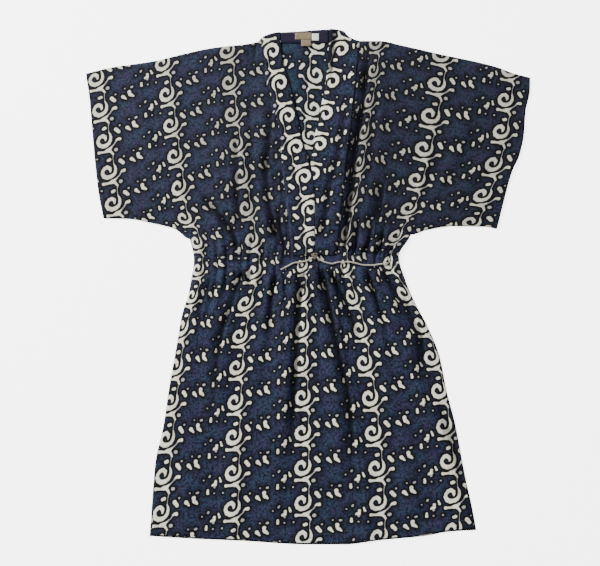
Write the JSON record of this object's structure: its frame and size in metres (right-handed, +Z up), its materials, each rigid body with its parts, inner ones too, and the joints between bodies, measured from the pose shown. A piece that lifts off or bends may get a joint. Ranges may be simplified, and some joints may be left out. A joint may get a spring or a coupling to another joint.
{
  "type": "knee-length caftan with a drawstring waist, laid flat",
  "caption": "Knee-length caftan laid flat, front up: wide sleeves cut in one with the body, a deep V neck with printed bands, and a waist drawn in by a thin cord",
  "frame": {"origin": "under the middle of the garment's outline, on the surface it lies on", "axes": "+Z up out of the front, +Y from the hem toward the neck, +X across the body to the viewer's right"},
  "size_m": [0.838, 0.946, 0.0111],
  "materials": {
    "printed_cotton": "matt navy cotton with a cream scroll print",
    "printed_cotton_inside": "matt, the print's paler inside",
    "plain_facing": "matt, plain dark navy",
    "tan_label": "woven label, blank",
    "white_tab": "woven tab, blank",
    "cream_cord": "matt twisted cotton cord"
  },
  "bodies": {
    "root": {"back_panel": "printed_cotton_inside", "front_panel": "printed_cotton", "neck_band_left": "printed_cotton", "neck_band_right": "printed_cotton", "back_neck_facing": "plain_facing", "neck_label": "tan_label", "label_tab": "tan_label", "size_tab": "white_tab", "drawcord_right": "cream_cord", "drawcord_left": "cream_cord", "cord_knot": "cream_cord"}
  },
  "joints": []
}
